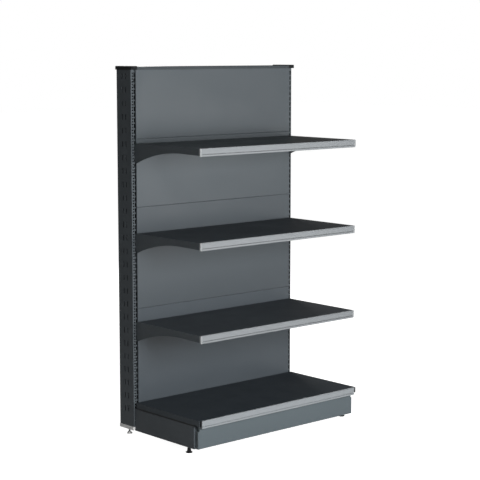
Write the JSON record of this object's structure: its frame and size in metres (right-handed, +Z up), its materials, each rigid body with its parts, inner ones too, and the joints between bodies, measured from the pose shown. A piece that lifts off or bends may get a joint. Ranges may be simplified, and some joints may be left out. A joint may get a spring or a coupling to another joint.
{
  "type": "extension shelving unit",
  "caption": "Single-sided shop shelving bay: slotted steel uprights carry back panels, a base with kick plate, and tilting hook-in shelves with price rails on bracket arms.",
  "frame": {"origin": "on the floor, in the middle of the unit's width and depth", "axes": "+Z up, -Y towards the shelf fronts, +X to the right seen from the front"},
  "size_m": [0.988, 0.562, 1.665],
  "materials": {
    "upright_paint": "fine matt powder coat, anthracite",
    "panel_paint": "satin powder coat, slate grey",
    "shelf_paint": "fine matt powder coat, anthracite",
    "rail_plastic": "satin extruded plastic, grey",
    "cap_plastic": "fine moulded grain, black",
    "shoe_plastic": "moulded, pale grey",
    "fastener_zinc": "zinc plated",
    "front_foot_plastic": "moulded, black",
    "rear_foot_plastic": "moulded, off-white"
  },
  "bodies": {
    "frame": {"left_upright": "upright_paint", "right_upright": "upright_paint", "left_upright_shoe": "shoe_plastic", "right_upright_shoe": "shoe_plastic", "left_end_cap": "cap_plastic", "right_end_cap": "cap_plastic", "left_base_leg": "upright_paint", "right_base_leg": "upright_paint", "tie_bar_top": "upright_paint", "tie_bar_middle": "upright_paint", "tie_bar_bottom": "upright_paint", "tie_bar_bolts": "fastener_zinc", "tie_bar_nuts": "fastener_zinc", "back_panel_top": "panel_paint", "back_panel_upper": "panel_paint", "back_panel_middle": "panel_paint", "back_panel_bottom": "panel_paint", "leg_weld_nuts": "fastener_zinc", "rear_lock_nuts": "fastener_zinc"},
    "top_cover": {"top_cover": "panel_paint", "top_cover_clips": "fastener_zinc"},
    "base_deck": {"base_deck": "shelf_paint", "base_deck_stiffener": "shelf_paint", "base_price_rail": "rail_plastic", "base_rail_end_caps": "cap_plastic"},
    "kick_plate": {"kick_plate": "panel_paint", "kick_plate_clips": "fastener_zinc"},
    "shelf_lower": {"shelf_lower_board": "shelf_paint", "shelf_lower_stiffener": "shelf_paint", "shelf_lower_left_bracket": "upright_paint", "shelf_lower_right_bracket": "upright_paint", "shelf_lower_price_rail": "rail_plastic", "shelf_lower_rail_end_caps": "rail_plastic"},
    "shelf_middle": {"shelf_middle_board": "shelf_paint", "shelf_middle_stiffener": "shelf_paint", "shelf_middle_left_bracket": "upright_paint", "shelf_middle_right_bracket": "upright_paint", "shelf_middle_price_rail": "rail_plastic", "shelf_middle_rail_end_caps": "rail_plastic"},
    "shelf_upper": {"shelf_upper_board": "shelf_paint", "shelf_upper_stiffener": "shelf_paint", "shelf_upper_left_bracket": "upright_paint", "shelf_upper_right_bracket": "upright_paint", "shelf_upper_price_rail": "rail_plastic", "shelf_upper_rail_end_caps": "rail_plastic"},
    "front_left_foot": {"front_left_foot_pad": "front_foot_plastic", "front_left_foot_stud": "fastener_zinc"},
    "front_right_foot": {"front_right_foot_pad": "front_foot_plastic", "front_right_foot_stud": "fastener_zinc"},
    "rear_left_foot": {"rear_left_foot_pad": "rear_foot_plastic", "rear_left_foot_stud": "fastener_zinc"},
    "rear_right_foot": {"rear_right_foot_pad": "rear_foot_plastic", "rear_right_foot_stud": "fastener_zinc"}
  },
  "joints": [
    {"name": "shelf_lower_tilt", "type": "hinge", "parent": "frame", "child": "shelf_lower", "pos_m": [0, 0.179, 0.5175], "axis": [-1, 0, 0], "range_deg": [0, 10]},
    {"name": "shelf_middle_tilt", "type": "hinge", "parent": "frame", "child": "shelf_middle", "pos_m": [0, 0.179, 0.9175], "axis": [-1, 0, 0], "range_deg": [0, 10]},
    {"name": "shelf_upper_tilt", "type": "hinge", "parent": "frame", "child": "shelf_upper", "pos_m": [0, 0.179, 1.3175], "axis": [-1, 0, 0], "range_deg": [0, 10]},
    {"name": "base_deck_lift", "type": "slide", "parent": "frame", "child": "base_deck", "axis": [0, 0, 1], "range_m": [0, 0.06]},
    {"name": "kick_plate_tilt", "type": "hinge", "parent": "frame", "child": "kick_plate", "pos_m": [0, -0.2525, 0.1284], "axis": [-1, 0, 0], "range_deg": [0, 10]},
    {"name": "top_cover_lift", "type": "slide", "parent": "frame", "child": "top_cover", "axis": [0, 0, 1], "range_m": [0, 0.03]},
    {"name": "front_left_foot_turn", "type": "hinge", "parent": "frame", "child": "front_left_foot", "pos_m": [-0.4731, -0.195, 0], "axis": [0, 0, 1], "continuous": true},
    {"name": "front_right_foot_turn", "type": "hinge", "parent": "frame", "child": "front_right_foot", "pos_m": [0.4731, -0.195, 0], "axis": [0, 0, 1], "continuous": true},
    {"name": "rear_left_foot_turn", "type": "hinge", "parent": "frame", "child": "rear_left_foot", "pos_m": [-0.474, 0.229, 0], "axis": [0, 0, 1], "continuous": true},
    {"name": "rear_right_foot_turn", "type": "hinge", "parent": "frame", "child": "rear_right_foot", "pos_m": [0.474, 0.229, 0], "axis": [0, 0, 1], "continuous": true}
  ]
}
